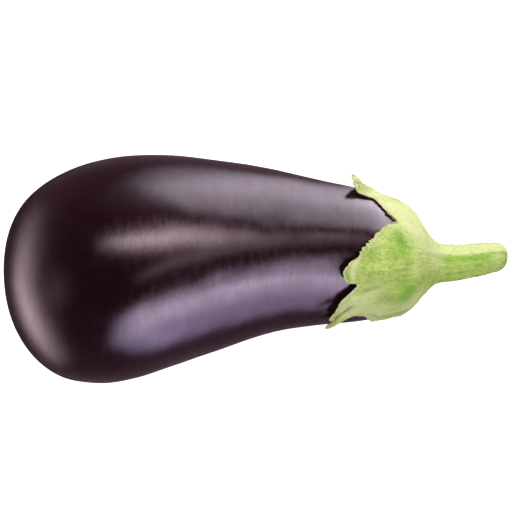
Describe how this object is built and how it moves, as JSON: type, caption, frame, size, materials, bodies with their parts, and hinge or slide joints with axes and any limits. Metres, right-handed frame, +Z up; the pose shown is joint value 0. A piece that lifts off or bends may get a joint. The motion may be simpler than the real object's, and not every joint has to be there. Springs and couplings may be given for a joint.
{
  "type": "eggplant",
  "caption": "Whole dark purple eggplant lying on its side, with a green fleshy calyx hugging its shoulder and a short cut stem.",
  "frame": {"origin": "on the floor, under the middle of the eggplant's footprint", "axes": "+X along the eggplant towards its cut stem, +Z up, +Y sideways"},
  "size_m": [0.2016, 0.0902, 0.0895],
  "materials": {
    "skin": "gloss",
    "calyx": "matte",
    "stem": "matte"
  },
  "bodies": {
    "root": {"fruit": "skin", "calyx": "calyx", "stem": "stem"}
  },
  "joints": []
}
